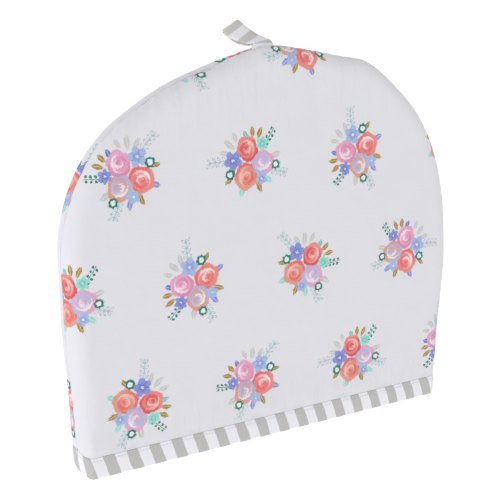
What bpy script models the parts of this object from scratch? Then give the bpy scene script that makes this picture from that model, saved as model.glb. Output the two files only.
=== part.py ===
"""Tea cosy: two padded dome panels, a striped hem binding and a tape loop.

Metres, +Z up. Seen from the front the width runs along X, the front panel
faces -Y and the cosy stands on its hem at Z = 0.
"""
import math

import bmesh
import bpy
import numpy as np
from mathutils import Vector

# Outline of the dome in the plane of the seam
WIDTH = 0.3400
HEM_HALF_WIDTH = 0.1648
WIDEST_AT = 0.1574
HEIGHT = 0.3002
DOME_POWER = 2.117

# Depth of the two panels together, and how their edge is rounded
HALF_DEPTH_HEM = 0.0200
HALF_DEPTH_TOP = 0.0110
HALF_DEPTH_CROWN = 0.0015
EDGE_POWER = 2.4
EDGE_RUN_HEM = 0.0060
EDGE_RUN_UP = 0.0150
EDGE_RUN_FULL_AT = 0.0700
WALL = 0.0050
SEAM_GAP = 0.0003

# Hem binding
BAND_HEIGHT = 0.0170
BAND_INSIDE = 0.0140
BAND_CLOTH = 0.0012
BAND_BEVEL = 0.0006
GAP = 0.0003

# Loop at the top
LOOP_X = -0.0057
TAPE_WIDTH = 0.0180
TAPE = 0.0011
POCKET_REACH = 0.0080
POCKET_EASE = 0.0017

# How far the cloth outline stands out from the plain dome, in millimetres.
# The steps are equal lengths along the edge: left hem, over the top, right hem.
OUTLINE_EASE = (-1.6, -1.6, -1.8, -1.1, -0.7, -1.1, -0.4, 0.0, 0.6, 0.0,
                -1.8, -1.6, -0.8, 2.4, 6.3, 4.5, 4.4, 8.3, 4.9, 2.9,
                0.9, -1.0, -0.8, 1.1, 2.4, 1.3, -0.1, -1.3, -2.6)

# Soft hollows and swells of the padded faces, all in millimetres
FOLD_COLUMNS = ("x", "z", "half_width", "half_height", "swell")
FRONT_FOLDS = (
    (34, 268, 6, 22, -0.9),
    (50, 262, 7, 26, 0.7),
    (-84, 246, 14, 16, -0.8),
    (-112, 205, 15, 30, 0.8),
    (-60, 120, 60, 50, 0.9),
    (70, 170, 55, 60, 0.7),
    (20, 60, 70, 26, -0.8),
    (128, 84, 20, 40, 0.6),
    (-138, 60, 13, 34, -0.6),
)
BACK_FOLDS = (
    (-30, 262, 8, 24, -0.8),
    (58, 240, 22, 22, 0.8),
    (-70, 150, 60, 60, 1.0),
    (76, 96, 55, 40, -0.8),
    (118, 190, 18, 40, 0.6),
    (-122, 70, 18, 40, -0.6),
)

# Middle line of the tape from the seam, over the fold and back to the seam,
# in millimetres from the seam's top at the loop, and the tape's cross line.
LOOP_COLUMNS = ("x", "y", "z", "cross_x", "cross_y", "cross_z")
LOOP_COURSE = (
    (0.4, -0.72, -4.6, 1.00, 0.00, 0.00),
    (0.4, -0.72, -1.6, 1.00, 0.00, 0.00),
    (0.5, -0.66, 1.0, 0.99, 0.06, 0.03),
    (0.0, 0.95, 3.5, 0.94, 0.30, 0.08),
    (-3.2, 7.20, 4.5, 0.84, 0.47, 0.27),
    (-7.4, 13.70, 7.2, 0.84, 0.36, 0.42),
    (-11.2, 19.40, 10.8, 0.85, 0.26, 0.47),
    (-13.6, 22.60, 14.1, 0.88, 0.23, 0.41),
    (-14.0, 24.10, 14.2, 0.88, 0.23, 0.41),
    (-13.0, 24.05, 12.6, 0.88, 0.23, 0.41),
    (-10.1, 21.30, 9.2, 0.85, 0.27, 0.46),
    (-5.8, 15.20, 4.8, 0.86, 0.34, 0.38),
    (-1.4, 8.40, 2.3, 0.90, 0.36, 0.19),
    (0.1, 3.10, 1.8, 0.98, 0.15, 0.06),
    (0.4, 1.05, 0.6, 1.00, 0.02, 0.00),
    (0.4, 0.72, -1.6, 1.00, 0.00, 0.00),
    (0.4, 0.72, -4.6, 1.00, 0.00, 0.00),
)
LOOP_STEPS = 34
FOLD_FROM = 0.44
FOLD_TO = 0.60
FOLD_STEPS = 12

# Heights of the mesh rows on the straight sides
ROWS = (0.0016, 0.0090, 0.0173, 0.0202, 0.0300, 0.0450, 0.0640, 0.0840,
        0.1050, 0.1260, 0.1460)
HUB_HEIGHT = 0.1460
DOME_STEPS = 26
EDGE_STEPS = (0.0, 0.045, 0.16, 0.34, 0.62, 1.0)
FACE_STEPS = (0.13, 0.30, 0.50, 0.74, 1.0)

COLOURS = {
    "front_panel": (0.86, 0.85, 0.87, 1.0),
    "back_panel": (0.86, 0.85, 0.87, 1.0),
    "hem_binding": (0.62, 0.62, 0.60, 1.0),
    "hang_loop": (0.62, 0.62, 0.60, 1.0),
}


def ramp(value, start, end):
    t = min(max((value - start) / (end - start), 0.0), 1.0)
    return t * t * (3.0 - 2.0 * t)


def through(rows, t):
    """Smooth curve through equally spaced rows, t from 0 to 1."""
    last = len(rows) - 1
    u = min(max(t, 0.0), 1.0) * last
    i = min(int(u), last - 1)
    f = u - i
    p1 = np.array(rows[i], float)
    p2 = np.array(rows[i + 1], float)
    p0 = np.array(rows[i - 1], float) if i > 0 else 2.0 * p1 - p2
    p3 = np.array(rows[i + 2], float) if i + 2 <= last else 2.0 * p2 - p1
    return 0.5 * (2.0 * p1 + (p2 - p0) * f + (2.0 * p0 - 5.0 * p1 + 4.0 * p2 - p3) * f * f
                  + (3.0 * p1 - p0 - 3.0 * p2 + p3) * f * f * f)


def edge_curve(samples=600):
    """Dense seam outline as x, z arrays, from the left hem over the top."""
    half = WIDTH / 2.0
    side = np.linspace(0.0, WIDEST_AT, samples // 4, endpoint=False)
    side_x = HEM_HALF_WIDTH + (half - HEM_HALF_WIDTH) * np.sin(side / WIDEST_AT * math.pi / 2.0)
    turn = np.linspace(0.0, math.pi, samples)
    c = np.cos(turn)
    s = np.abs(np.sin(turn))
    dome_x = -half * np.sign(c) * np.abs(c) ** (2.0 / DOME_POWER)
    dome_z = WIDEST_AT + (HEIGHT - WIDEST_AT) * s ** (2.0 / DOME_POWER)
    x = np.concatenate([-side_x, dome_x, side_x[::-1]])
    z = np.concatenate([side, dome_z, side[::-1]])
    dx = np.gradient(x)
    dz = np.gradient(z)
    run = np.hypot(dx, dz)
    along = np.concatenate([[0.0], np.cumsum(np.hypot(np.diff(x), np.diff(z)))])
    along = along / along[-1]
    ease = np.array([through([(e,) for e in OUTLINE_EASE], a)[0] for a in along]) * 0.001
    return x - dz / run * ease, z + dx / run * ease


EDGE_X, EDGE_Z = edge_curve()
TOP_INDEX = int(np.argmax(EDGE_Z))


def side_at(z, left):
    """Point of the outline at a height on the left or right side."""
    if left:
        return float(np.interp(z, EDGE_Z[:TOP_INDEX + 1], EDGE_X[:TOP_INDEX + 1]))
    return float(np.interp(-z, -EDGE_Z[TOP_INDEX:], EDGE_X[TOP_INDEX:]))


def dome_at(angle):
    """Point of the outline in a direction from the hub, 0 at the left."""
    a = np.arctan2(EDGE_Z - HUB_HEIGHT, -EDGE_X)
    a = np.where(a < -1.0, a + 2.0 * math.pi, a)
    keep = EDGE_Z > HUB_HEIGHT - 0.004
    return (float(np.interp(angle, a[keep], EDGE_X[keep])),
            float(np.interp(angle, a[keep], EDGE_Z[keep])))


LOOP_TOP = float(np.interp(LOOP_X, EDGE_X[150:-150], EDGE_Z[150:-150]))


def stations():
    """Spokes from the edge to the middle line: (edge, middle) points."""
    spokes = []
    for z in ROWS:
        spokes.append(((side_at(z, True), z), (0.0, z)))
    angles = [math.pi * i / DOME_STEPS for i in range(1, DOME_STEPS)]
    reach = LOOP_TOP - HUB_HEIGHT
    for x in (-0.0175, -0.0097, 0.0, 0.0097, 0.0175):
        angles.append(math.pi / 2.0 + math.atan((LOOP_X + x) / reach))
    angles.sort()
    kept = []
    for a in angles:
        near_loop = 1.0
        if abs(a - math.pi / 2.0) < 1.2:
            near_loop = abs(reach * math.tan(a - math.pi / 2.0) - LOOP_X)
        fixed = any(abs(near_loop - abs(x)) < 1e-6 for x in (0.0175, 0.0097, 0.0))
        if near_loop < 0.024 and not fixed:
            continue
        kept.append(a)
    for a in kept:
        spokes.append((dome_at(a), (0.0, HUB_HEIGHT)))
    for z in reversed(ROWS):
        spokes.append(((side_at(z, False), z), (0.0, z)))
    return spokes


def half_depth(z):
    t = min(max(z / HEIGHT, 0.0), 1.0)
    return (HALF_DEPTH_HEM + (HALF_DEPTH_TOP - HALF_DEPTH_HEM) * t
            + HALF_DEPTH_CROWN * math.sin(math.pi * t))


def edge_run(z):
    return EDGE_RUN_HEM + (EDGE_RUN_UP - EDGE_RUN_HEM) * ramp(z, 0.0, EDGE_RUN_FULL_AT)


def swell(x, z, folds):
    total = 0.0
    for row in folds:
        f = dict(zip(FOLD_COLUMNS, row))
        u = (x * 1000.0 - f["x"]) / f["half_width"]
        v = (z * 1000.0 - f["z"]) / f["half_height"]
        total += f["swell"] * math.exp(-u * u - v * v)
    return total * 0.001 * ramp(z, 0.015, 0.040)


def pocket(x, z):
    """Half opening of the seam, wider where the loop's ends go in."""
    half = SEAM_GAP / 2.0
    if z < HEIGHT * 0.8:
        return half
    off = abs(x - LOOP_X) - TAPE_WIDTH / 2.0
    return half + POCKET_EASE * (1.0 - ramp(off, 0.0006, POCKET_REACH))


def spoke_point(edge, middle, inset, step, folds, seam):
    """Point of the front wall on one spoke, inset from the outer surface.

    step runs over the rounded edge (0 to 1) and then over the face (1 to 2).
    """
    ex, ez = edge
    ray = Vector((middle[0] - ex, middle[1] - ez))
    length = ray.length
    ray.normalize()
    run = edge_run(ez)
    if step <= 1.0:
        depth_in = inset + (run - inset) * step
        rise = (1.0 - (1.0 - step) ** EDGE_POWER) ** (1.0 / EDGE_POWER)
    else:
        depth_in = run + (length - run) * (step - 1.0)
        rise = 1.0
    x = ex + ray.x * depth_in
    z = ez + ray.y * depth_in
    start = pocket(ex, ez) if seam else 0.0
    full = half_depth(z) + swell(x, z, folds) * min(rise, 1.0) - inset
    return Vector((x, -(start + (full - start) * rise), z))


def hem_inset(z):
    """The panel is drawn in where the binding wraps it."""
    return (BAND_CLOTH + GAP + 0.0001) * (1.0 - ramp(z, BAND_HEIGHT + 0.0004, 0.0202))


def steps():
    return list(EDGE_STEPS) + [1.0 + f for f in FACE_STEPS]


def build_panel(name, folds, back):
    spokes = stations()
    count = len(steps())
    mesh = bmesh.new()
    middle_cache = {}

    def skin(inner):
        rows = []
        for i, (edge, middle) in enumerate(spokes):
            row = []
            for k, step in enumerate(steps()):
                inset = WALL if inner else hem_inset(edge[1])
                p = spoke_point(edge, middle, inset, step, folds, True)
                if back:
                    p.y = -p.y
                if k == count - 1:
                    key = (inner, round(middle[1], 6))
                    if key not in middle_cache:
                        middle_cache[key] = mesh.verts.new(p)
                    row.append(middle_cache[key])
                else:
                    row.append(mesh.verts.new(p))
            rows.append(row)
        return rows

    outer = skin(False)
    inner = skin(True)

    def face(corners, flip):
        unique = []
        for v in corners:
            if v not in unique:
                unique.append(v)
        if len(unique) < 3:
            return
        if flip:
            unique.reverse()
        mesh.faces.new(unique)

    for i in range(len(spokes) - 1):
        for k in range(count - 1):
            a = (outer[i][k], outer[i][k + 1], outer[i + 1][k + 1], outer[i + 1][k])
            b = (inner[i][k], inner[i][k + 1], inner[i + 1][k + 1], inner[i + 1][k])
            face(a, back)
            face(b, not back)
        face((outer[i][0], outer[i + 1][0], inner[i + 1][0], inner[i][0]), back)
    first_o = outer[0] + outer[-1][:-1][::-1]
    first_i = inner[0] + inner[-1][:-1][::-1]
    for k in range(len(first_o) - 1):
        face((first_o[k], first_i[k], first_i[k + 1], first_o[k + 1]), back)
    return finish(name, mesh)


def ring_stations():
    """Hem spokes in order round the cosy: (edge side, step, back)."""
    line = steps()
    order = [(True, s, False) for s in line]
    order += [(False, s, False) for s in reversed(line[:-1])]
    order += [(False, s, True) for s in line[1:]]
    order += [(True, s, True) for s in reversed(line[1:-1])]
    return order


def hem_point(left, step, back, inset, z):
    edge = (side_at(z, left), z)
    folds = BACK_FOLDS if back else FRONT_FOLDS
    p = spoke_point(edge, (0.0, z), inset, step, folds, False)
    if back:
        p.y = -p.y
    return p


def build_binding(name):
    inner = WALL + GAP
    profile = (
        (BAND_BEVEL, 0.0),
        (0.0, BAND_BEVEL),
        (0.0, 0.0090),
        (0.0, BAND_HEIGHT - 0.0004),
        (0.0004, BAND_HEIGHT),
        (BAND_CLOTH, BAND_HEIGHT),
        (BAND_CLOTH, 0.0090),
        (BAND_CLOTH, BAND_CLOTH),
        (inner, BAND_CLOTH),
        (inner, 0.0090),
        (inner, BAND_INSIDE),
        (inner + BAND_CLOTH, BAND_INSIDE),
        (inner + BAND_CLOTH, 0.0090),
        (inner + BAND_CLOTH, BAND_BEVEL),
        (inner + BAND_CLOTH - BAND_BEVEL, 0.0),
    )
    mesh = bmesh.new()
    rings = []
    for left, step, back in ring_stations():
        rings.append([mesh.verts.new(hem_point(left, step, back, inset, z)) for inset, z in profile])
    total = len(rings)
    wide = len(profile)
    for i in range(total):
        a = rings[i]
        b = rings[(i + 1) % total]
        for j in range(wide):
            n = (j + 1) % wide
            mesh.faces.new((a[j], b[j], b[n], a[n]))
    return finish(name, mesh)


def build_loop(name):
    mesh = bmesh.new()
    sections = []
    plain = [i / LOOP_STEPS for i in range(LOOP_STEPS + 1)]
    marks = [t for t in plain if not FOLD_FROM - 0.008 < t < FOLD_TO + 0.008]
    marks += [FOLD_FROM + (FOLD_TO - FOLD_FROM) * i / FOLD_STEPS for i in range(FOLD_STEPS + 1)]
    marks.sort()
    for t in marks:
        row = through(LOOP_COURSE, t)
        ahead = through(LOOP_COURSE, min(t + 0.004, 1.0))
        behind = through(LOOP_COURSE, max(t - 0.004, 0.0))
        middle = Vector(row[:3]) * 0.001 + Vector((LOOP_X, 0.0, LOOP_TOP))
        course = Vector(ahead[:3] - behind[:3]).normalized()
        cross = Vector(row[3:])
        cross = (cross - course * cross.dot(course)).normalized()
        up = cross.cross(course).normalized()
        w = cross * TAPE_WIDTH / 2.0
        h = up * TAPE / 2.0
        ring = []
        for a, b in ((-1, -1), (0, -1), (1, -1), (1, 1), (0, 1), (-1, 1)):
            ring.append(mesh.verts.new(middle + w * a + h * b))
        sections.append(ring)
    for a, b in zip(sections, sections[1:]):
        for j in range(6):
            n = (j + 1) % 6
            mesh.faces.new((a[j], a[n], b[n], b[j]))
    mesh.faces.new(sections[0])
    mesh.faces.new(list(reversed(sections[-1])))
    return finish(name, mesh)


def cloth(name):
    material = bpy.data.materials.new(name + "_cloth")
    material.use_nodes = True
    shader = material.node_tree.nodes["Principled BSDF"]
    shader.inputs["Base Color"].default_value = COLOURS[name]
    shader.inputs["Roughness"].default_value = 0.9
    shader.inputs["Metallic"].default_value = 0.0
    material.diffuse_color = COLOURS[name]
    return material


def finish(name, mesh):
    bmesh.ops.recalc_face_normals(mesh, faces=mesh.faces)
    if mesh.calc_volume(signed=True) < 0.0:
        bmesh.ops.reverse_faces(mesh, faces=mesh.faces)
    bmesh.ops.triangulate(mesh, faces=mesh.faces)
    data = bpy.data.meshes.new(name)
    mesh.to_mesh(data)
    mesh.free()
    obj = bpy.data.objects.new(name, data)
    bpy.context.scene.collection.objects.link(obj)
    data.materials.append(cloth(name))
    data.shade_smooth()
    data.set_sharp_from_angle(angle=math.radians(50.0))
    return obj


def centre(objects):
    """Hang all pieces on one empty so that the origin is under their middle."""
    points = [v.co for o in objects for v in o.data.vertices]
    low = [min(p[a] for p in points) for a in (0, 1)]
    high = [max(p[a] for p in points) for a in (0, 1)]
    holder = bpy.data.objects.new("cosy_middle", None)
    bpy.context.scene.collection.objects.link(holder)
    holder.location = (-(low[0] + high[0]) / 2.0, -(low[1] + high[1]) / 2.0, 0.0)
    for o in objects:
        o.parent = holder


def main():
    for o in list(bpy.data.objects):
        bpy.data.objects.remove(o, do_unlink=True)
    pieces = [
        build_panel("front_panel", FRONT_FOLDS, False),
        build_panel("back_panel", BACK_FOLDS, True),
        build_binding("hem_binding"),
        build_loop("hang_loop"),
    ]
    centre(pieces)


main()
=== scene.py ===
"""Looks of the padded tea cosy: printed panels, striped hem binding and loop.

Metres, +Z up, front face towards -Y, standing on the hem at Z = 0.
"""
import math

import bmesh
import bpy
import numpy as np
from mathutils import Matrix, Vector


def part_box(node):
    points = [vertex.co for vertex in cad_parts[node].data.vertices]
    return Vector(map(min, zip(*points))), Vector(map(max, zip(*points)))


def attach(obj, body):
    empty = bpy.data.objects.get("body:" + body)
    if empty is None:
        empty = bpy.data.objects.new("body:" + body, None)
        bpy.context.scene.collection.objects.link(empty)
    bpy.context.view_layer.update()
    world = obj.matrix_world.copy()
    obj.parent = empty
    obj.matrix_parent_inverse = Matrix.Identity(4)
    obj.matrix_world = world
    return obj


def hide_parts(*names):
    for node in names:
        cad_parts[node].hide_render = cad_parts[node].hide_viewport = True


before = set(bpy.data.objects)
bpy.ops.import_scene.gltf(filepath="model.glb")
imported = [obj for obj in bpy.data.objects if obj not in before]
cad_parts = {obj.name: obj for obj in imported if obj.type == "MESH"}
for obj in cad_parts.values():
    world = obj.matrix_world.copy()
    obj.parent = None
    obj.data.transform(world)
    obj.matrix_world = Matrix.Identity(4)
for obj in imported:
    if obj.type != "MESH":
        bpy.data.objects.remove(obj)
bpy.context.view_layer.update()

# Where the middle of the seam stands in the frame
_front_low, _front_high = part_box("front_panel")
_back_low, _back_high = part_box("back_panel")
SEAM_Y = (_front_high[1] + _back_low[1]) / 2.0

# Sizes shared with the part
WIDTH = 0.3400
HEM_HALF_WIDTH = 0.1648
WIDEST_AT = 0.1574
HEIGHT = 0.3002
DOME_POWER = 2.117
HALF_DEPTH_HEM = 0.0200
HALF_DEPTH_TOP = 0.0110
HALF_DEPTH_CROWN = 0.0015
EDGE_POWER = 2.4
EDGE_RUN_HEM = 0.0060
EDGE_RUN_UP = 0.0150
EDGE_RUN_FULL_AT = 0.0700
WALL = 0.0050
SEAM_GAP = 0.0003
BAND_HEIGHT = 0.0170
BAND_INSIDE = 0.0140
BAND_CLOTH = 0.0012
BAND_BEVEL = 0.0006
GAP = 0.0003
LOOP_X = -0.0057
TAPE_WIDTH = 0.0180
TAPE = 0.0011
POCKET_REACH = 0.0080
POCKET_EASE = 0.0017
HUB_HEIGHT = 0.1460
OUTLINE_EASE = (-1.6, -1.6, -1.8, -1.1, -0.7, -1.1, -0.4, 0.0, 0.6, 0.0,
                -1.8, -1.6, -0.8, 2.4, 6.3, 4.5, 4.4, 8.3, 4.9, 2.9,
                0.9, -1.0, -0.8, 1.1, 2.4, 1.3, -0.1, -1.3, -2.6)
FOLD_COLUMNS = ("x", "z", "half_width", "half_height", "swell")
FRONT_FOLDS = (
    (34, 268, 6, 22, -0.9),
    (50, 262, 7, 26, 0.7),
    (-84, 246, 14, 16, -0.8),
    (-112, 205, 15, 30, 0.8),
    (-60, 120, 60, 50, 0.9),
    (70, 170, 55, 60, 0.7),
    (20, 60, 70, 26, -0.8),
    (128, 84, 20, 40, 0.6),
    (-138, 60, 13, 34, -0.6),
)
BACK_FOLDS = (
    (-30, 262, 8, 24, -0.8),
    (58, 240, 22, 22, 0.8),
    (-70, 150, 60, 60, 1.0),
    (76, 96, 55, 40, -0.8),
    (118, 190, 18, 40, 0.6),
    (-122, 70, 18, 40, -0.6),
)
LOOP_COURSE = (
    (0.4, -0.72, -4.6, 1.00, 0.00, 0.00),
    (0.4, -0.72, -1.6, 1.00, 0.00, 0.00),
    (0.5, -0.66, 1.0, 0.99, 0.06, 0.03),
    (0.0, 0.95, 3.5, 0.94, 0.30, 0.08),
    (-3.2, 7.20, 4.5, 0.84, 0.47, 0.27),
    (-7.4, 13.70, 7.2, 0.84, 0.36, 0.42),
    (-11.2, 19.40, 10.8, 0.85, 0.26, 0.47),
    (-13.6, 22.60, 14.1, 0.88, 0.23, 0.41),
    (-14.0, 24.10, 14.2, 0.88, 0.23, 0.41),
    (-13.0, 24.05, 12.6, 0.88, 0.23, 0.41),
    (-10.1, 21.30, 9.2, 0.85, 0.27, 0.46),
    (-5.8, 15.20, 4.8, 0.86, 0.34, 0.38),
    (-1.4, 8.40, 2.3, 0.90, 0.36, 0.19),
    (0.1, 3.10, 1.8, 0.98, 0.15, 0.06),
    (0.4, 1.05, 0.6, 1.00, 0.02, 0.00),
    (0.4, 0.72, -1.6, 1.00, 0.00, 0.00),
    (0.4, 0.72, -4.6, 1.00, 0.00, 0.00),
)

# Camera of the photograph
CAMERA_YAW = 29.543
CAMERA_PITCH = 15.537
CAMERA_ROLL = 0.017
CAMERA_AIM = (-0.01598, 0.15092)
CAMERA_DISTANCE = 0.76087
CAMERA_FOCAL_PX = 978.6


def ramp(value, start, end):
    t = np.clip((value - start) / (end - start), 0.0, 1.0)
    return t * t * (3.0 - 2.0 * t)


def through(rows, t):
    """Smooth curve through equally spaced rows, t from 0 to 1."""
    last = len(rows) - 1
    u = min(max(t, 0.0), 1.0) * last
    i = min(int(u), last - 1)
    f = u - i
    p1 = np.array(rows[i], float)
    p2 = np.array(rows[i + 1], float)
    p0 = np.array(rows[i - 1], float) if i > 0 else 2.0 * p1 - p2
    p3 = np.array(rows[i + 2], float) if i + 2 <= last else 2.0 * p2 - p1
    return 0.5 * (2.0 * p1 + (p2 - p0) * f + (2.0 * p0 - 5.0 * p1 + 4.0 * p2 - p3) * f * f
                  + (3.0 * p1 - p0 - 3.0 * p2 + p3) * f * f * f)


def edge_curve(samples=1600):
    """Dense seam outline as x, z arrays, from the left hem over the top."""
    half = WIDTH / 2.0
    side = np.linspace(0.0, WIDEST_AT, samples // 4, endpoint=False)
    side_x = HEM_HALF_WIDTH + (half - HEM_HALF_WIDTH) * np.sin(side / WIDEST_AT * math.pi / 2.0)
    turn = np.linspace(0.0, math.pi, samples)
    c = np.cos(turn)
    s = np.abs(np.sin(turn))
    dome_x = -half * np.sign(c) * np.abs(c) ** (2.0 / DOME_POWER)
    dome_z = WIDEST_AT + (HEIGHT - WIDEST_AT) * s ** (2.0 / DOME_POWER)
    x = np.concatenate([-side_x, dome_x, side_x[::-1]])
    z = np.concatenate([side, dome_z, side[::-1]])
    dx = np.gradient(x)
    dz = np.gradient(z)
    run = np.hypot(dx, dz)
    along = np.concatenate([[0.0], np.cumsum(np.hypot(np.diff(x), np.diff(z)))])
    along = along / along[-1]
    ease = np.array([through([(e,) for e in OUTLINE_EASE], a)[0] for a in along]) * 0.001
    return x - dz / run * ease, z + dx / run * ease


EDGE_X, EDGE_Z = edge_curve()
TOP_INDEX = int(np.argmax(EDGE_Z))
EDGE_ANGLE = np.arctan2(EDGE_Z - HUB_HEIGHT, -EDGE_X)
EDGE_ANGLE = np.where(EDGE_ANGLE < -1.0, EDGE_ANGLE + 2.0 * math.pi, EDGE_ANGLE)
DOME_PART = EDGE_Z > HUB_HEIGHT - 0.004
LOOP_TOP = float(np.interp(LOOP_X, EDGE_X[400:-400], EDGE_Z[400:-400]))


def side_at(z, left):
    if left:
        return float(np.interp(z, EDGE_Z[:TOP_INDEX + 1], EDGE_X[:TOP_INDEX + 1]))
    return float(np.interp(-z, -EDGE_Z[TOP_INDEX:], EDGE_X[TOP_INDEX:]))


def dome_at(angle):
    return (float(np.interp(angle, EDGE_ANGLE[DOME_PART], EDGE_X[DOME_PART])),
            float(np.interp(angle, EDGE_ANGLE[DOME_PART], EDGE_Z[DOME_PART])))


# Where the outline's middle stands in the frame, from the side of the binding
SHIFT_X = float(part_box("hem_binding")[0][0]) - side_at(BAND_HEIGHT - 0.0004, True)


def half_depth(z):
    t = np.clip(z / HEIGHT, 0.0, 1.0)
    return (HALF_DEPTH_HEM + (HALF_DEPTH_TOP - HALF_DEPTH_HEM) * t
            + HALF_DEPTH_CROWN * np.sin(math.pi * t))


def edge_run(z):
    return EDGE_RUN_HEM + (EDGE_RUN_UP - EDGE_RUN_HEM) * ramp(z, 0.0, EDGE_RUN_FULL_AT)


def swell(x, z, folds):
    total = 0.0
    for row in folds:
        f = dict(zip(FOLD_COLUMNS, row))
        u = (x * 1000.0 - f["x"]) / f["half_width"]
        v = (z * 1000.0 - f["z"]) / f["half_height"]
        total = total + f["swell"] * np.exp(-u * u - v * v)
    return total * 0.001 * ramp(z, 0.015, 0.040)


def pocket(x, z):
    half = SEAM_GAP / 2.0
    if z < HEIGHT * 0.8:
        return half
    off = abs(x - LOOP_X) - TAPE_WIDTH / 2.0
    return half + POCKET_EASE * (1.0 - ramp(off, 0.0006, POCKET_REACH))


def hem_inset(z):
    tucked = 0.0011 * (1.0 - ramp(z, BAND_HEIGHT - 0.0008, BAND_HEIGHT + 0.0003))
    return tucked + 0.0005 * (1.0 - ramp(z, BAND_HEIGHT, 0.0260))


def seam_roll(x, z):
    """How far the back stands above the seam, on the upper left of the dome."""
    return 0.0022 * ramp(z, 0.150, 0.225) * (1.0 - ramp(x, LOOP_X - 0.045, LOOP_X - 0.011))


def waves(along, seed, table):
    """Sum of sines along a length, each with its own phase."""
    total = 0.0
    for i, (length, height) in enumerate(table):
        total = total + height * np.sin(2.0 * math.pi * along / length + seed * 1.7 + i * 2.3)
    return total


PUCKER_WAVES = ((0.0117, 0.5), (0.0171, 0.45), (0.0083, 0.30), (0.031, 0.5))
HEM_WAVES = ((0.0131, 0.5), (0.0203, 0.5), (0.0089, 0.25), (0.047, 0.6))


def relief(x, z, side):
    """Slow unevenness of a padded face, in metres."""
    a = np.sin(x * 41.0 + z * 17.0 + side * 1.3) * np.sin(z * 37.0 - x * 11.0 + side * 2.1)
    b = np.sin(x * 96.0 - z * 58.0 + side) * np.sin(z * 83.0 + x * 27.0 + side * 0.7)
    return 0.00050 * a + 0.00026 * b


def mesh_object(name, verts, faces, uvs):
    data = bpy.data.meshes.new(name)
    data.from_pydata([tuple(v) for v in verts], [], faces)
    layer = data.uv_layers.new(name="UVMap")
    flat = np.zeros(len(data.loops) * 2)
    index = 0
    for face, corner_uvs in zip(faces, uvs):
        for uv in corner_uvs:
            flat[index] = uv[0]
            flat[index + 1] = uv[1]
            index += 2
    layer.data.foreach_set("uv", flat)
    data.validate()
    obj = bpy.data.objects.new(name, data)
    bpy.context.scene.collection.objects.link(obj)
    data.shade_smooth()
    return obj


def spokes_of_panel():
    heights = [0.0016, 0.0040, 0.0075, 0.0115, 0.0150, 0.0164, 0.0168, 0.0171, 0.0174, 0.0178,
               0.0184, 0.0192, 0.0202, 0.0216, 0.0234]
    z = 0.0256
    while z < HUB_HEIGHT - 0.0016:
        heights.append(z)
        z += 0.0029
    heights.append(HUB_HEIGHT)
    result = [((side_at(h, True), h), (0.0, h)) for h in heights]
    count = 150
    for i in range(1, count):
        result.append((dome_at(math.pi * i / count), (0.0, HUB_HEIGHT)))
    result += [((side_at(h, False), h), (0.0, h)) for h in reversed(heights)]
    return result


EDGE_FINE = [0.0, 0.0002, 0.0012, 0.0034]
EDGE_FINE += [1.0 - math.cos(math.pi / 2.0 * i / 13.0) for i in range(1, 13)] + [1.0]
FACE_FINE = [(i / 26.0) ** 1.15 for i in range(1, 27)]


def panel_rows(folds, side, inner, spokes):
    """Arrays of points and flat-cloth coordinates for one skin of a panel."""
    steps = np.array(EDGE_FINE + [1.0 + f for f in FACE_FINE])
    edge = np.array([s[0] for s in spokes])
    along = np.concatenate([[0.0], np.cumsum(np.hypot(np.diff(edge[:, 0]), np.diff(edge[:, 1])))])
    points = np.zeros((len(spokes), len(steps), 3))
    cloth = np.zeros((len(spokes), len(steps), 2))
    for i, (e, middle) in enumerate(spokes):
        ray = np.array([middle[0] - e[0], middle[1] - e[1]])
        length = float(np.hypot(ray[0], ray[1]))
        ray = ray / length
        inset = WALL if inner else float(hem_inset(e[1]))
        run = float(edge_run(e[1]))
        on_edge = steps <= 1.0
        t = np.minimum(steps, 1.0)
        rise = (1.0 - (1.0 - t) ** EDGE_POWER) ** (1.0 / EDGE_POWER)
        inward = np.where(on_edge, inset + (run - inset) * t, run + (length - run) * (steps - 1.0))
        x = e[0] + ray[0] * inward
        z = e[1] + ray[1] * inward
        start = pocket(e[0], e[1])
        full = half_depth(z) + swell(x, z, folds) * rise - inset
        y = start + (full - start) * rise
        if not inner:
            lift = relief(x, z, side) * rise * ramp(z, 0.018, 0.05)
            # The seam draws the cloth in, with small puckers along it.
            near = np.exp(-((y / 0.0052) ** 2))
            draw = 0.00055 * np.exp(-(((y - start) / 0.0011) ** 2))
            lean = 0.0024 if side == 2 else 0.0090
            draw = draw + seam_roll(e[0], e[1]) * np.exp(-(((y - start) / lean) ** 2))
            pucker = 0.00030 * waves(along[i], side, PUCKER_WAVES) * near * ramp(e[1], 0.02, 0.04)
            shift = draw - pucker
            x = x + ray[0] * shift
            z = z + ray[1] * shift
            # The bound hem draws the cloth in as well.
            above = np.exp(-(((z - 0.0195) / 0.0120) ** 2)) * ramp(z, 0.0176, 0.0205)
            across = x if side < 2 else -x
            lift = lift + 0.00080 * waves(across, side + 4.0, HEM_WAVES) * above * rise
            y = y + lift
        points[i, :, 0] = x
        points[i, :, 1] = y
        points[i, :, 2] = z
        flat_start = int(np.argmax(steps >= 1.0))
        gone = np.zeros(len(steps))
        for k in range(flat_start - 1, -1, -1):
            d = points[i, k] - points[i, k + 1]
            gone[k] = gone[k + 1] + float(np.sqrt((d * d).sum()))
        base_x = np.where(np.arange(len(steps)) < flat_start, x[flat_start], x)
        base_z = np.where(np.arange(len(steps)) < flat_start, z[flat_start], z)
        cloth[i, :, 0] = base_x - ray[0] * gone
        cloth[i, :, 1] = base_z - ray[1] * gone
    return points, cloth


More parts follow.
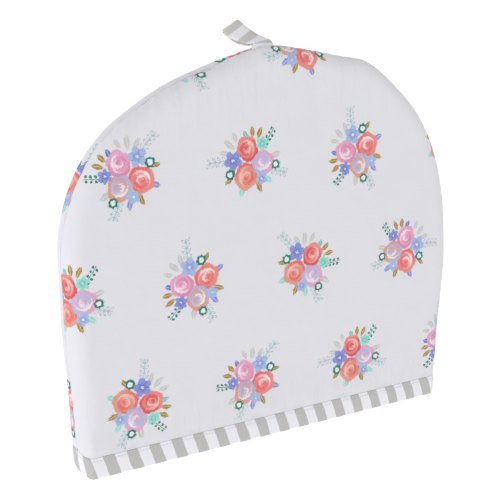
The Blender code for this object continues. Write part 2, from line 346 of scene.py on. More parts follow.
def build_panel(name, folds, side):
    back = side == 2
    spokes = spokes_of_panel()
    outer, outer_uv = panel_rows(folds, side, False, spokes)
    inner, inner_uv = panel_rows(folds, side, True, spokes)
    rows, cols = outer.shape[:2]
    verts = []
    faces = []
    uvs = []
    middle_of = {}
    grid = {}

    def place(p):
        y = SEAM_Y + (p[1] if back else -p[1])
        verts.append((p[0] + SHIFT_X, y, p[2]))
        return len(verts) - 1

    for tag, pts in (("o", outer), ("i", inner)):
        ids = np.zeros((rows, cols), int)
        for i in range(rows):
            for k in range(cols):
                if k == cols - 1:
                    key = (tag, round(spokes[i][1][1], 6))
                    if key not in middle_of:
                        middle_of[key] = place(pts[i, k])
                    ids[i, k] = middle_of[key]
                else:
                    ids[i, k] = place(pts[i, k])
        grid[tag] = ids

    def add(corners, corner_uvs, flip):
        kept = []
        kept_uv = []
        for c, uv in zip(corners, corner_uvs):
            if c not in kept:
                kept.append(c)
                kept_uv.append(uv)
        if len(kept) < 3:
            return
        if flip:
            kept.reverse()
            kept_uv.reverse()
        faces.append(tuple(int(c) for c in kept))
        uvs.append(kept_uv)

    # The back is a mirror image in y, so its print runs the other way round in x.
    turn = -1.0 if back else 1.0

    def uv_of(table, i, k):
        return (table[i, k, 0] * turn, table[i, k, 1])

    go = grid["o"]
    gi = grid["i"]
    for i in range(rows - 1):
        for k in range(cols - 1):
            cells = ((i, k), (i, k + 1), (i + 1, k + 1), (i + 1, k))
            add([go[c] for c in cells], [uv_of(outer_uv, *c) for c in cells], back)
            add([gi[c] for c in cells], [uv_of(inner_uv, *c) for c in cells], not back)
        add([go[i, 0], go[i + 1, 0], gi[i + 1, 0], gi[i, 0]],
            [uv_of(outer_uv, i, 0), uv_of(outer_uv, i + 1, 0), uv_of(outer_uv, i + 1, 0), uv_of(outer_uv, i, 0)],
            back)
    first_o = list(go[0]) + list(go[-1][:-1][::-1])
    first_i = list(gi[0]) + list(gi[-1][:-1][::-1])
    for k in range(len(first_o) - 1):
        add([first_o[k], first_i[k], first_i[k + 1], first_o[k + 1]], [(0.0, 0.0)] * 4, back)
    return mesh_object(name, verts, faces, uvs)


def build_binding(name):
    """The bound strip as one ring, its stripes laid out along its own length."""
    order = []
    line = EDGE_FINE + [1.0 + f for f in FACE_FINE]
    order += [(True, s, False) for s in line]
    order += [(False, s, False) for s in reversed(line[:-1])]
    order += [(False, s, True) for s in line[1:]]
    order += [(True, s, True) for s in reversed(line[1:-1])]
    inner = WALL + GAP
    fold = BAND_CLOTH * 0.5
    profile = [(0.0016, 0.0), (0.0007, 0.00018), (0.0002, 0.0007), (0.0, 0.0016)]
    profile += [(0.0, BAND_HEIGHT * f) for f in (0.2, 0.32, 0.44, 0.56, 0.68, 0.78, 0.86)]
    profile += [(0.0, BAND_HEIGHT - 0.0016), (0.00012, BAND_HEIGHT - 0.0007), (fold, BAND_HEIGHT),
                (BAND_CLOTH, BAND_HEIGHT - 0.0004), (BAND_CLOTH, 0.0090), (BAND_CLOTH, BAND_CLOTH + 0.0003)]
    profile += [(inner, BAND_CLOTH + 0.0003), (inner, 0.0090), (inner, BAND_INSIDE - 0.0004),
                (inner + fold, BAND_INSIDE), (inner + BAND_CLOTH, BAND_INSIDE - 0.0004),
                (inner + BAND_CLOTH, 0.0100), (inner + BAND_CLOTH, 0.0050), (inner + BAND_CLOTH, 0.0012),
                (inner + BAND_CLOTH - 0.0010, 0.0), (inner - 0.0010, 0.0), (0.0034, 0.0)]
    verts = []
    rings = []
    places = []
    for left, step, back in order:
        places.append([])
        for inset, z in profile:
            e = (side_at(z, left), z)
            run = float(edge_run(z))
            length = abs(e[0])
            sign = 1.0 if left else -1.0
            t = min(step, 1.0)
            rise = (1.0 - (1.0 - t) ** EDGE_POWER) ** (1.0 / EDGE_POWER)
            inward = inset + (run - inset) * t if step <= 1.0 else run + (length - run) * (step - 1.0)
            x = e[0] + sign * inward
            y = (float(half_depth(z)) - inset) * rise
            places[-1].append([x, y if back else -y, z])
    places = np.array(places)
    # Length round the ring at mid height, counted from the middle of the front.
    mid = places[:, 8, :2]
    stepped = np.hypot(*(np.roll(mid, -1, axis=0) - mid).T)
    along = np.concatenate([[0.0], np.cumsum(stepped)])
    centre = len(line) - 1
    along = along - along[centre]
    total = len(order)
    down = np.concatenate([[0.0], np.cumsum([math.hypot(profile[j + 1][0] - profile[j][0],
                                                         profile[j + 1][1] - profile[j][1])
                                             for j in range(len(profile) - 1)])])
    out = np.roll(mid, -1, axis=0) - np.roll(mid, 1, axis=0)
    out = out / np.hypot(out[:, 0], out[:, 1])[:, None]
    normal = np.stack([out[:, 1], -out[:, 0]], axis=1)
    for i in range(total):
        ring = []
        for j, (inset, z) in enumerate(profile):
            p = places[i, j].copy()
            if inset < 0.0004 and z > 0.0004:
                puff = math.sin(math.pi * min(z / (BAND_HEIGHT - 0.001), 1.0)) ** 0.8
                wave = float(waves(along[i], 2.0, HEM_WAVES))
                push = 0.00045 * puff + 0.00028 * wave * puff
                # The line of stitches just under the folded edge.
                push -= 0.00042 * math.exp(-(((z - 0.0153) / 0.0009) ** 2))
                p[0] += normal[i, 0] * push
                p[1] += normal[i, 1] * push
            verts.append((p[0] + SHIFT_X, p[1] + SEAM_Y, p[2]))
            ring.append(len(verts) - 1)
        rings.append(ring)
    faces = []
    uvs = []
    wide = len(profile)
    girth = down[-1] + 0.0018
    inner_top = next(j for j in range(14, wide) if profile[j][1] == BAND_INSIDE)
    for i in range(total):
        a = rings[i]
        b = rings[(i + 1) % total]
        ua = along[i]
        ub = along[i + 1]
        for j in range(wide):
            n = (j + 1) % wide
            va = down[j] - (girth if j >= inner_top else 0.0)
            vb = (down[n] if n else girth) - (girth if j >= inner_top else 0.0)
            faces.append((a[j], b[j], b[n], a[n]))
            uvs.append([(ua, va), (ub, va), (ub, vb), (ua, vb)])
    return mesh_object(name, verts, faces, uvs), along[-1] - along[0], down[-1]


def build_loop(name):
    verts = []
    sections = []
    lengths = []
    marks = [i / 80 for i in range(81) if not 0.43 < i / 80 < 0.61]
    marks += [0.43 + 0.18 * i / 40 for i in range(41)]
    marks.sort()
    last = None
    gone = 0.0
    half = TAPE_WIDTH / 2.0
    thick = TAPE / 2.0
    outline = [(-half + 0.0004, -thick), (-half * 0.5, -thick), (0.0, -thick), (half * 0.5, -thick),
               (half - 0.0004, -thick), (half, -thick * 0.3), (half, thick * 0.3), (half - 0.0004, thick),
               (half * 0.5, thick), (0.0, thick), (-half * 0.5, thick), (-half + 0.0004, thick),
               (-half, thick * 0.3), (-half, -thick * 0.3)]
    for t in marks:
        row = through(LOOP_COURSE, t)
        ahead = through(LOOP_COURSE, min(t + 0.004, 1.0))
        behind = through(LOOP_COURSE, max(t - 0.004, 0.0))
        middle = Vector(row[:3]) * 0.001 + Vector((LOOP_X + SHIFT_X, SEAM_Y, LOOP_TOP))
        course = Vector(ahead[:3] - behind[:3]).normalized()
        cross = Vector(row[3:])
        cross = (cross - course * cross.dot(course)).normalized()
        up = cross.cross(course).normalized()
        if last is not None:
            gone += (middle - last).length
        last = middle
        lengths.append(gone)
        # The folded end is a little narrower, so its corners are round.
        width = 1.0 - 0.15 * math.exp(-(((t - 0.5) / 0.024) ** 2))
        ring = []
        for a, b in outline:
            verts.append(tuple(middle + cross * (a * width) + up * b))
            ring.append(len(verts) - 1)
        sections.append(ring)
    faces = []
    uvs = []
    wide = len(outline)
    for i in range(len(sections) - 1):
        a = sections[i]
        b = sections[i + 1]
        for j in range(wide):
            n = (j + 1) % wide
            faces.append((a[j], a[n], b[n], b[j]))
            uvs.append([(outline[j][0], lengths[i]), (outline[n][0], lengths[i]),
                        (outline[n][0], lengths[i + 1]), (outline[j][0], lengths[i + 1])])
    faces.append(tuple(reversed(sections[0])))
    uvs.append([(0.0, 0.0)] * wide)
    faces.append(tuple(sections[-1]))
    uvs.append([(0.0, lengths[-1])] * wide)
    return mesh_object(name, verts, faces, uvs), lengths[-1]


def outward(obj):
    """Turns all faces of a closed mesh to point out."""
    bm = bmesh.new()
    bm.from_mesh(obj.data)
    bmesh.ops.recalc_face_normals(bm, faces=bm.faces)
    if bm.calc_volume(signed=True) < 0.0:
        bmesh.ops.reverse_faces(bm, faces=bm.faces)
    bm.to_mesh(obj.data)
    bm.free()


front = build_panel("front_panel_cloth", FRONT_FOLDS, 1)
back = build_panel("back_panel_cloth", BACK_FOLDS, 2)
binding, BINDING_LENGTH, BINDING_GIRTH = build_binding("hem_binding_cloth")
loop, LOOP_LENGTH = build_loop("hang_loop_tape")
for piece in (front, back, binding, loop):
    outward(piece)


# Materials, built from nodes
def linear(*rgb):
    out = []
    for c in rgb:
        c = c / 255.0
        out.append(c / 12.92 if c <= 0.04045 else ((c + 0.055) / 1.055) ** 2.4)
    return tuple(out) + (1.0,)


class Graph:
    """Short names for the nodes of one material."""

    def __init__(self, name):
        self.material = bpy.data.materials.new(name)
        self.material.use_nodes = True
        self.tree = self.material.node_tree
        self.shader = self.tree.nodes["Principled BSDF"]

    def put(self, socket, value):
        if isinstance(value, bpy.types.NodeSocket):
            self.tree.links.new(value, socket)
        else:
            socket.default_value = value

    def math(self, operation, a, b=None, c=None, clamp=False):
        node = self.tree.nodes.new("ShaderNodeMath")
        node.operation = operation
        node.use_clamp = clamp
        for socket, value in zip(node.inputs, (a, b, c)):
            if value is not None:
                self.put(socket, value)
        return node.outputs[0]

    def vector(self, operation, a, b=None, scale=None):
        node = self.tree.nodes.new("ShaderNodeVectorMath")
        node.operation = operation
        self.put(node.inputs[0], a)
        if b is not None:
            self.put(node.inputs[1], b)
        if scale is not None:
            self.put(node.inputs["Scale"], scale)
        return node.outputs["Value"] if operation in ("LENGTH", "DOT_PRODUCT") else node.outputs["Vector"]

    def combine(self, x, y, z=0.0):
        node = self.tree.nodes.new("ShaderNodeCombineXYZ")
        for socket, value in zip(node.inputs, (x, y, z)):
            self.put(socket, value)
        return node.outputs[0]

    def split(self, v):
        node = self.tree.nodes.new("ShaderNodeSeparateXYZ")
        self.put(node.inputs[0], v)
        return node.outputs[0], node.outputs[1]

    def place(self, v, at, turn, size):
        """v seen from a motif of that place, turn in degrees and size."""
        node = self.tree.nodes.new("ShaderNodeMapping")
        node.vector_type = "TEXTURE"
        self.put(node.inputs["Vector"], v)
        node.inputs["Location"].default_value = (at[0], at[1], 0.0)
        node.inputs["Rotation"].default_value = (0.0, 0.0, math.radians(turn))
        node.inputs["Scale"].default_value = (size[0], size[1], 1.0)
        return node.outputs[0]

    def step(self, value, low, high):
        """0 below low, 1 above high, soft between."""
        node = self.tree.nodes.new("ShaderNodeMapRange")
        node.interpolation_type = "SMOOTHSTEP"
        self.put(node.inputs["Value"], value)
        node.inputs["From Min"].default_value = low
        node.inputs["From Max"].default_value = high
        return node.outputs["Result"]

    def mix(self, amount, a, b):
        node = self.tree.nodes.new("ShaderNodeMix")
        node.data_type = "RGBA"
        self.put(node.inputs[0], amount)
        self.put(node.inputs[6], a)
        self.put(node.inputs[7], b)
        return node.outputs[2]

    def noise(self, v, scale, detail=2.0):
        node = self.tree.nodes.new("ShaderNodeTexNoise")
        self.put(node.inputs["Vector"], v)
        node.inputs["Scale"].default_value = scale
        node.inputs["Detail"].default_value = detail
        return node.outputs["Fac"], node.outputs["Color"]

    def uv(self):
        """Flat cloth coordinates in millimetres."""
        node = self.tree.nodes.new("ShaderNodeUVMap")
        node.uv_map = "UVMap"
        return self.vector("SCALE", node.outputs[0], scale=1000.0)

    def bump(self, height, distance, strength=1.0):
        node = self.tree.nodes.new("ShaderNodeBump")
        node.inputs["Strength"].default_value = strength
        node.inputs["Distance"].default_value = distance
        self.put(node.inputs["Height"], height)
        self.put(self.shader.inputs["Normal"], node.outputs[0])

    def weave(self, v, pitch, slant=0.0):
        """Plain weave of that thread pitch in millimetres, 0 to 1."""
        x, y = self.split(v)
        if slant:
            x = self.math("MULTIPLY_ADD", y, slant, x)
        k = math.pi / pitch
        a = self.math("SINE", self.math("MULTIPLY", x, k))
        b = self.math("SINE", self.math("MULTIPLY", y, k))
        return self.math("MULTIPLY_ADD", self.math("MULTIPLY", a, b), 0.5, 0.5)


INK = {
    "coral": linear(238, 104, 104),
    "deep_coral": linear(222, 78, 84),
    "salmon": linear(232, 158, 136),
    "blush": linear(246, 208, 202),
    "light_coral": linear(240, 142, 134),
    "pink": linear(236, 170, 200),
    "rose_pink": linear(226, 138, 176),
    "periwinkle": linear(142, 152, 218),
    "deep_blue": linear(112, 124, 202),
    "pale_blue": linear(170, 192, 230),
    "aqua": linear(152, 226, 214),
    "deep_aqua": linear(112, 200, 192),
    "teal": linear(10, 132, 116),
    "mustard": linear(178, 138, 38),
    "grey_leaf": linear(206, 206, 200),
    "line": linear(172, 196, 200),
    "paint": linear(250, 246, 248),
}
# The studio light is a little over 1, so the inks are toned down a little.
INK = {key: tuple(0.96 * c for c in value[:3]) + (1.0,) for key, value in INK.items()}
CLOTH = linear(227, 227, 232)

REPEAT_ACROSS = 97.0
REPEAT_UP = 86.0
REPEAT_START = (24.0, 8.0)
POSY_SIZE = 1.24

# One posy, in millimetres from its middle. The second kind is its mirror image
# with other inks.
LEAF_COLUMNS = ("x", "y", "turn", "length", "width", "ink")
LEAVES = (
    (-3.0, 17.6, 98, 4.6, 1.7, "grey_leaf"),
    (-8.4, 15.8, 128, 4.2, 1.6, "grey_leaf"),
    (2.6, 18.4, 70, 3.6, 1.4, "grey_leaf"),
    (15.4, -8.6, -24, 4.6, 1.8, "grey_leaf"),
    (13.2, -12.8, -52, 4.0, 1.6, "grey_leaf"),
    (16.6, 8.6, 24, 3.9, 1.5, "mustard"),
    (13.4, 12.6, 52, 3.6, 1.5, "mustard"),
    (-5.0, -15.6, -104, 4.0, 1.6, "mustard"),
    (-17.6, 1.6, 176, 3.2, 1.4, "mustard"),
    (-15.2, -9.4, 206, 3.8, 1.8, "aqua"),
    (2.6, -16.8, -78, 3.6, 1.7, "aqua"),
    (8.8, 14.2, 76, 3.2, 1.5, "deep_aqua"),
)
SPRIG_COLUMNS = ("x", "y", "turn", "length", "ink", "pairs")
SPRIGS = (
    (-11.0, 11.5, 134, 13.0, "line", 4),
    (8.0, -13.0, -66, 12.0, "line", 4),
    (14.5, 1.5, 4, 11.5, "teal", 4),
)
ROSE_COLUMNS = ("x", "y", "radius", "turn", "base", "shade", "light")
ROSES = (
    (-7.2, -4.6, 8.8, 20, "salmon", "coral", "blush"),
    (6.4, -6.2, 8.2, 140, "pink", "pale_blue", "paint"),
    (4.2, 7.4, 8.0, 250, "light_coral", "deep_coral", "blush"),
)
BLOSSOM_COLUMNS = ("x", "y", "radius", "turn", "petals", "base", "shade", "eye")
BLOSSOMS = (
    (-7.4, 8.6, 6.4, 12, 5, "periwinkle", "deep_blue", "paint"),
    (13.6, 2.4, 4.6, 40, 6, "aqua", "deep_aqua", "blush"),
    (-0.6, -13.2, 4.2, 8, 5, "pale_blue", "periwinkle", "paint"),
    (-14.4, 3.8, 3.5, 0, 7, "teal", "teal", "paint"),
    (12.0, -13.4, 3.2, 25, 7, "teal", "teal", "paint"),
)
SECOND_INKS = {
    "light_coral": "pink", "deep_coral": "rose_pink", "pink": "salmon", "rose_pink": "coral",
    "salmon": "light_coral", "blush": "paint", "periwinkle": "pale_blue", "deep_blue": "periwinkle",
    "aqua": "periwinkle", "deep_aqua": "deep_blue",
}


def printed_cloth(name):
    g = Graph(name)
    uv = g.uv()
    u, v = g.split(uv)
    soft = g.noise(uv, 0.55, 1.0)[1]
    rough = g.noise(uv, 2.3, 1.0)[1]
    wander = g.vector("SCALE", g.vector("SUBTRACT", soft, (0.5, 0.5, 0.5)), scale=1.5)
    fray = g.vector("SCALE", g.vector("SUBTRACT", rough, (0.5, 0.5, 0.5)), scale=0.5)

    # A brick repeat of the posies
    row = g.math("DIVIDE", g.math("SUBTRACT", v, REPEAT_START[1]), REPEAT_UP)
    row_number = g.math("FLOOR", row)
    odd = g.math("FLOORED_MODULO", row_number, 2.0)
    column = g.math("DIVIDE", g.math("SUBTRACT", u, REPEAT_START[0]), REPEAT_ACROSS)
    column = g.math("MULTIPLY_ADD", odd, 0.5, column)
    column_number = g.math("FLOOR", column)
    x = g.math("MULTIPLY", g.math("SUBTRACT", g.math("FRACT", column), 0.5), REPEAT_ACROSS)
    y = g.math("MULTIPLY", g.math("SUBTRACT", g.math("FRACT", row), 0.5), REPEAT_UP)
    kind = g.math("FLOORED_MODULO", g.math("ADD", column_number, g.math("FLOOR", g.math("DIVIDE", row_number, 2.0))), 2.0)
    x = g.math("MULTIPLY", x, g.math("MULTIPLY_ADD", kind, -2.0, 1.0))
    third = g.math("FLOORED_MODULO", g.math("MULTIPLY_ADD", column_number, 2.0, row_number), 3.0)
    turn = g.tree.nodes.new("ShaderNodeVectorRotate")
    turn.rotation_type = "Z_AXIS"
    g.put(turn.inputs["Vector"], g.combine(x, y))
    g.put(turn.inputs["Angle"], g.math("MULTIPLY_ADD", third, 0.85, -0.7))
    posy = g.vector("SCALE", turn.outputs[0], scale=1.0 / POSY_SIZE)
    p = g.vector("ADD", g.vector("ADD", posy, wander), fray)

    inks = {}

    def ink(key):
        if key not in inks:
            other = SECOND_INKS.get(key)
            inks[key] = g.mix(kind, INK[key], INK[other]) if other else INK[key]
        return inks[key]

    colour = CLOTH
    for item in SPRIGS:
        s = dict(zip(SPRIG_COLUMNS, item))
        q = g.place(p, (s["x"], s["y"]), s["turn"], (1.0, 1.0))
        qx, qy = g.split(q)
        bend = g.math("MULTIPLY", g.math("MULTIPLY", qx, qx), 0.012)
        qy = g.math("SUBTRACT", qy, bend)
        inside = g.math("MULTIPLY", g.step(qx, -0.4, 0.2), g.math("SUBTRACT", 1.0, g.step(qx, s["length"] - 0.3, s["length"] + 0.3)))
        stem = g.math("MULTIPLY", inside, g.math("SUBTRACT", 1.0, g.step(g.math("ABSOLUTE", qy), 0.14, 0.34)))
        pitch = s["length"] / s["pairs"]
        cell = g.math("SUBTRACT", g.math("FRACT", g.math("DIVIDE", qx, pitch)), 0.5)
        along = g.math("MULTIPLY", cell, pitch)
        reach = g.math("SUBTRACT", g.math("ABSOLUTE", qy), 1.55)
        if s["ink"] == "teal":
            away = g.math("SQRT", g.math("ADD", g.math("MULTIPLY", along, along), g.math("MULTIPLY", reach, reach)))
            shape = g.math("SUBTRACT", 1.0, g.step(away, 0.72, 0.98))
        else:
            lean = g.math("SUBTRACT", along, g.math("MULTIPLY", reach, 0.75))
            away = g.math("SQRT", g.math("ADD", g.math("POWER", g.math("DIVIDE", lean, 0.85), 2.0),
                                         g.math("POWER", g.math("DIVIDE", reach, 1.35), 2.0)))
            shape = g.math("MULTIPLY", g.math("SUBTRACT", 1.0, g.step(away, 0.95, 1.2)), g.step(away, 0.50, 0.80))
        mask = g.math("MAXIMUM", stem, g.math("MULTIPLY", shape, inside))
        colour = g.mix(mask, colour, ink(s["ink"]))
    for item in LEAVES:
        f = dict(zip(LEAF_COLUMNS, item))
        q = g.place(p, (f["x"], f["y"]), f["turn"], (f["length"], f["width"]))
        qx, qy = g.split(q)
        rim = g.math("ADD", g.math("ABSOLUTE", qy), g.math("MULTIPLY", qx, qx))
        mask = g.math("SUBTRACT", 1.0, g.step(rim, 0.90, 1.10))
        vein = g.math("MULTIPLY", g.math("SUBTRACT", 1.0, g.step(g.math("ABSOLUTE", qy), 0.05, 0.22)), 0.45)
        tone = g.mix(vein, ink(f["ink"]), INK["paint"])
        colour = g.mix(mask, colour, tone)
    for item in ROSES:
        f = dict(zip(ROSE_COLUMNS, item))
        q = g.place(p, (f["x"], f["y"]), f["turn"], (f["radius"], f["radius"] * 0.93))
        qx, qy = g.split(q)
        r = g.vector("LENGTH", q)
        angle = g.math("ARCTAN2", qy, qx)
        lobes = g.math("MULTIPLY", g.math("SINE", g.math("MULTIPLY", angle, 5.0)), 0.05)
        rim = g.math("ADD", r, lobes)
        mask = g.math("SUBTRACT", 1.0, g.step(rim, 0.93, 1.01))
        # Petals drawn as rings that are off the middle and open on one side
        tone = ink(f["base"])
        for shift, radius, width, side, key in (
            (0.14, 0.80, 0.105, 0.4, "shade"),
            (-0.10, 0.62, 0.075, 2.5, "light"),
            (0.08, 0.47, 0.085, 4.4, "shade"),
            (-0.04, 0.32, 0.060, 0.9, "light"),
            (0.02, 0.16, 0.090, 3.2, "shade"),
        ):
            c = (shift * math.cos(side), shift * math.sin(side), 0.0)
            w = g.vector("SUBTRACT", q, c)
            wx, wy = g.split(w)
            away = g.math("ABSOLUTE", g.math("SUBTRACT", g.vector("LENGTH", w), radius))
            facing = g.math("COSINE", g.math("SUBTRACT", g.math("ARCTAN2", wy, wx), side))
            swellto = g.math("MULTIPLY", g.math("ADD", facing, 0.75), width)
            stroke = g.step(g.math("SUBTRACT", swellto, away), -0.02, 0.03)
            tone = g.mix(g.math("MULTIPLY", stroke, 0.85), tone, ink(f[key]))
        wash = g.math("MULTIPLY", g.step(g.math("ADD", qx, g.math("MULTIPLY", qy, 0.6)), -0.3, 1.1), 0.38)
        tone = g.mix(wash, tone, ink(f["shade"]))
        colour = g.mix(mask, colour, tone)
    for item in BLOSSOMS:
        f = dict(zip(BLOSSOM_COLUMNS, item))
        q = g.place(p, (f["x"], f["y"]), f["turn"], (f["radius"], f["radius"]))
        qx, qy = g.split(q)
        r = g.vector("LENGTH", q)
        angle = g.math("ARCTAN2", qy, qx)
        wave = g.math("ABSOLUTE", g.math("COSINE", g.math("MULTIPLY", angle, f["petals"] * 0.5)))
        deep = 0.34 if f["petals"] < 7 else 0.16
        reach = g.math("MULTIPLY_ADD", wave, deep, 1.0 - deep)
        rim = g.math("DIVIDE", r, reach)
        mask = g.math("SUBTRACT", 1.0, g.step(rim, 0.92, 1.03))
        if f["petals"] == 7:
            tone = g.mix(g.math("SUBTRACT", 1.0, g.step(r, 0.46, 0.54)), ink(f["base"]), INK["paint"])
            tone = g.mix(g.math("SUBTRACT", 1.0, g.step(r, 0.14, 0.20)), tone, INK["grey_leaf"])
        else:
            tone = g.mix(g.math("SUBTRACT", 1.0, g.step(wave, 0.10, 0.34)), ink(f["base"]), ink(f["shade"]))
            inner = g.math("SUBTRACT", 1.0, g.step(r, 0.30, 0.52))
            tone = g.mix(g.math("MULTIPLY", inner, 0.8), tone, ink(f["shade"]))
            tone = g.mix(g.math("SUBTRACT", 1.0, g.step(r, 0.15, 0.22)), tone, ink(f["eye"]))
        colour = g.mix(mask, colour, tone)

    tint = g.noise(uv, 0.035, 2.0)[0]
    colour = g.mix(g.math("MULTIPLY", tint, 0.05), colour, linear(214, 216, 226))
    weave = g.weave(uv, 0.42)
    thread = g.noise(uv, 3.1, 1.0)[0]
    grain = g.math("MULTIPLY_ADD", thread, 0.5, g.math("MULTIPLY", weave, 0.5))
    colour = g.mix(g.math("MULTIPLY", grain, 0.05), colour, linear(176, 178, 190))
    g.put(g.shader.inputs["Base Color"], colour)
    # Upright folds near the hem and near the top, over a slow unevenness
    slow = g.noise(uv, 0.07, 3.0)[0]
    folds = g.noise(g.combine(g.math("MULTIPLY", u, 0.10), g.math("MULTIPLY", v, 0.018)), 1.0, 2.0)[0]
    low = g.math("SUBTRACT", 1.0, g.step(v, 18.0, 75.0))
    reach = g.math("ADD", low, g.step(v, 205.0, 290.0))
    height = g.math("ADD", g.math("MULTIPLY", grain, 0.10), g.math("MULTIPLY", slow, 4.0))
    height = g.math("ADD", height, g.math("MULTIPLY", g.math("MULTIPLY", folds, reach), 9.0))
    g.bump(height, 0.00035, 0.55)
    g.shader.inputs["Roughness"].default_value = 0.88
    g.shader.inputs["Specular IOR Level"].default_value = 0.10
    g.shader.inputs["Sheen Weight"].default_value = 0.04
    g.shader.inputs["Sheen Roughness"].default_value = 0.5
    return g.material


STRIPE_GREY = linear(189, 188, 185)
TAPE_GREY = linear(203, 202, 199)
STRIPE_WHITE = linear(238, 238, 244)
STRIPE_PERIOD = 18.35
STRIPE_LEAN = 0.33
STRIPE_PHASE = -143.6 + STRIPE_LEAN * 9.0
TAPE_PERIOD = 15.6
TAPE_GREY_MIDDLE = 20.3
TAPE_PLAIN_END = 6.6


def striped_cloth(name, period, lean, grey_middle, across, grey_ink, stitch_at=None, plain_ends=None):
    """Grey and white stripes. across is the index of the coordinate they step along."""
    g = Graph(name)
    uv = g.uv()
    parts = g.split(uv)
    step_along = parts[across]
    other = parts[1 - across]
    wobble = g.math("MULTIPLY", g.math("SUBTRACT", g.noise(uv, 0.10, 1.0)[0], 0.5), 1.2)
    place = g.math("ADD", g.math("MULTIPLY_ADD", other, lean, step_along), wobble)
    phase = g.math("DIVIDE", g.math("SUBTRACT", place, grey_middle), period)
    near = g.math("ABSOLUTE", g.math("SUBTRACT", g.math("FRACT", g.math("ADD", phase, 0.5)), 0.5))
    grey = g.math("SUBTRACT", 1.0, g.step(near, 0.25 - 0.25 / period, 0.25 + 0.25 / period))
    if plain_ends is not None:
        inside = g.math("MULTIPLY", g.step(step_along, plain_ends[0] - 0.2, plain_ends[0] + 0.2),
                        g.math("SUBTRACT", 1.0, g.step(step_along, plain_ends[1] - 0.2, plain_ends[1] + 0.2)))
        grey = g.math("MULTIPLY", grey, inside)
    colour = g.mix(grey, STRIPE_WHITE, grey_ink)
    weave = g.weave(uv, 0.62, 0.5)
    twill = g.weave(uv, 0.31)
    grain = g.math("MULTIPLY_ADD", weave, 0.6, g.math("MULTIPLY", twill, 0.4))
    colour = g.mix(g.math("MULTIPLY", grain, g.math("MULTIPLY_ADD", grey, 0.14, 0.03)), colour, linear(232, 232, 236))
    height = g.math("MULTIPLY", grain, 0.25)
    if stitch_at is not None:
        offset = g.math("ABSOLUTE", g.math("SUBTRACT", other, stitch_at))
        thin = g.math("SUBTRACT", 1.0, g.step(offset, 0.16, 0.34))
        dash = g.step(g.math("ABSOLUTE", g.math("SUBTRACT", g.math("FRACT", g.math("DIVIDE", step_along, 2.8)), 0.5)), 0.10, 0.16)
        thread = g.math("MULTIPLY", thin, dash)
        colour = g.mix(g.math("MULTIPLY", thread, 0.55), colour, linear(232, 232, 238))
        # Painted shade: the stitch holes between the dashes are darkened toward grey in the colour, as well as sunk
        # in the bump.
        stitch_hole_painted_shade = g.math("MULTIPLY", thin, g.math("SUBTRACT", 1.0, dash))
        colour = g.mix(g.math("MULTIPLY", stitch_hole_painted_shade, 0.35), colour, linear(140, 140, 146))
        height = g.math("ADD", height, g.math("SUBTRACT", g.math("MULTIPLY", thread, 0.6), g.math("MULTIPLY", stitch_hole_painted_shade, 0.8)))
    slow = g.noise(uv, 0.12, 2.0)[0]
    height = g.math("ADD", height, g.math("MULTIPLY", slow, 1.6))
    g.put(g.shader.inputs["Base Color"], colour)
    g.bump(height, 0.00035, 0.6)
    g.shader.inputs["Roughness"].default_value = 0.85
    g.shader.inputs["Specular IOR Level"].default_value = 0.10
    g.shader.inputs["Sheen Weight"].default_value = 0.04
    g.shader.inputs["Sheen Roughness"].default_value = 0.5
    return g.material


front.data.materials.append(printed_cloth("printed_cloth_front"))
back.data.materials.append(printed_cloth("printed_cloth_back"))
binding.data.materials.append(striped_cloth(
    "striped_binding", STRIPE_PERIOD, STRIPE_LEAN, STRIPE_PHASE, 0, STRIPE_GREY, stitch_at=15.4))
loop.data.materials.append(striped_cloth(
    "striped_tape", TAPE_PERIOD, 0.0, TAPE_GREY_MIDDLE, 1, TAPE_GREY,
    plain_ends=(TAPE_PLAIN_END, LOOP_LENGTH * 1000.0 - TAPE_PLAIN_END)))

for piece, node, slot in (
    (front, "front_panel", "printed_cloth_front"),
    (back, "back_panel", "printed_cloth_back"),
    (binding, "hem_binding", "striped_binding"),
    (loop, "hang_loop", "striped_tape"),
):
    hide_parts(node)
    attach(piece, "root")

# Stage, light and camera
floor_mesh = bpy.data.meshes.new("floor")
floor_mesh.from_pydata([(-6, -6, 0), (6, -6, 0), (6, 6, 0), (-6, 6, 0)], [], [(0, 1, 2, 3)])
floor = bpy.data.objects.new("floor", floor_mesh)
bpy.context.scene.collection.objects.link(floor)
floor.location.z = -0.0002
floor_material = bpy.data.materials.new("pale_floor")
floor_material.use_nodes = True
floor_shader = floor_material.node_tree.nodes["Principled BSDF"]
floor_shader.inputs["Base Color"].default_value = (0.50, 0.50, 0.50, 1.0)
floor_shader.inputs["Roughness"].default_value = 1.0
floor_shader.inputs["Specular IOR Level"].default_value = 0.0
floor_shader.inputs["Emission Color"].default_value = (1.0, 1.0, 1.0, 1.0)
floor_shader.inputs["Emission Strength"].default_value = 0.72
floor_mesh.materials.append(floor_material)

world = bpy.data.worlds.new("studio")
bpy.context.scene.world = world
world.use_nodes = True
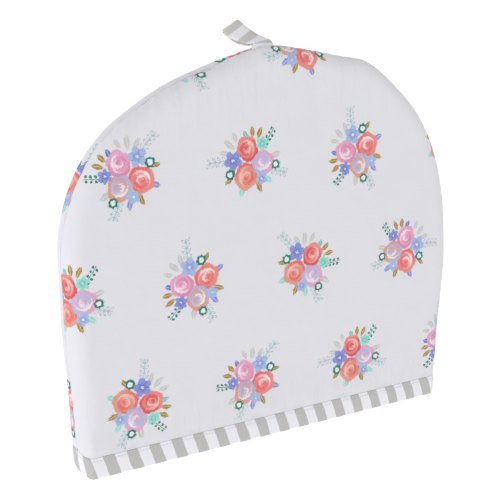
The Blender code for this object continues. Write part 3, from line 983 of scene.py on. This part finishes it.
# White all round, dimmer overhead and on the right of the front.
sky = world.node_tree
sky_at = sky.nodes.new("ShaderNodeTexCoord").outputs["Generated"]
sky_light = 1.10
for direction, low, high, fall in (((0.0, 0.0, 1.0), 0.05, 0.85, 0.40), ((0.8, -0.6, 0.0), 0.0, 1.0, 0.24)):
    facing = sky.nodes.new("ShaderNodeVectorMath")
    facing.operation = "DOT_PRODUCT"
    sky.links.new(sky_at, facing.inputs[0])
    facing.inputs[1].default_value = direction
    spread = sky.nodes.new("ShaderNodeMapRange")
    spread.interpolation_type = "SMOOTHSTEP"
    sky.links.new(facing.outputs["Value"], spread.inputs["Value"])
    spread.inputs["From Min"].default_value = low
    spread.inputs["From Max"].default_value = high
    spread.inputs["To Max"].default_value = fall
    less = sky.nodes.new("ShaderNodeMath")
    less.operation = "SUBTRACT"
    if isinstance(sky_light, float):
        less.inputs[0].default_value = sky_light
    else:
        sky.links.new(sky_light, less.inputs[0])
    sky.links.new(spread.outputs["Result"], less.inputs[1])
    sky_light = less.outputs[0]
sky.nodes["Background"].inputs["Color"].default_value = (1.0, 1.0, 1.0, 1.0)
sky.links.new(sky_light, sky.nodes["Background"].inputs["Strength"])


def area_light(name, at, to, size, power):
    data = bpy.data.lights.new(name, "AREA")
    data.shape = "DISK"
    data.size = size
    data.energy = power
    obj = bpy.data.objects.new(name, data)
    bpy.context.scene.collection.objects.link(obj)
    obj.location = at
    obj.rotation_euler = (Vector(to) - Vector(at)).to_track_quat("-Z", "Y").to_euler()


area_light("key_left", (-1.6, -0.15, 0.45), (0.0, 0.0, 0.14), 0.7, 2.5)

yaw = math.radians(CAMERA_YAW)
pitch = math.radians(CAMERA_PITCH)
roll = math.radians(CAMERA_ROLL)
ahead = Vector((math.sin(yaw) * math.cos(pitch), math.cos(yaw) * math.cos(pitch), -math.sin(pitch)))
right = Vector((math.cos(yaw), -math.sin(yaw), 0.0))
up = right.cross(ahead)
right_turned = right * math.cos(roll) + up * math.sin(roll)
up_turned = up * math.cos(roll) - right * math.sin(roll)
camera_data = bpy.data.cameras.new("camera")
camera_data.sensor_width = 36.0
camera_data.lens = CAMERA_FOCAL_PX * 36.0 / 500.0
camera_data.clip_start = 0.01
camera = bpy.data.objects.new("camera", camera_data)
bpy.context.scene.collection.objects.link(camera)
where = Vector((CAMERA_AIM[0] + SHIFT_X, SEAM_Y, CAMERA_AIM[1])) - ahead * CAMERA_DISTANCE
camera.matrix_world = Matrix((
    (right_turned.x, up_turned.x, -ahead.x, where.x),
    (right_turned.y, up_turned.y, -ahead.y, where.y),
    (right_turned.z, up_turned.z, -ahead.z, where.z),
    (0.0, 0.0, 0.0, 1.0),
))
bpy.context.scene.camera = camera
bpy.context.scene.view_settings.view_transform = "Standard"
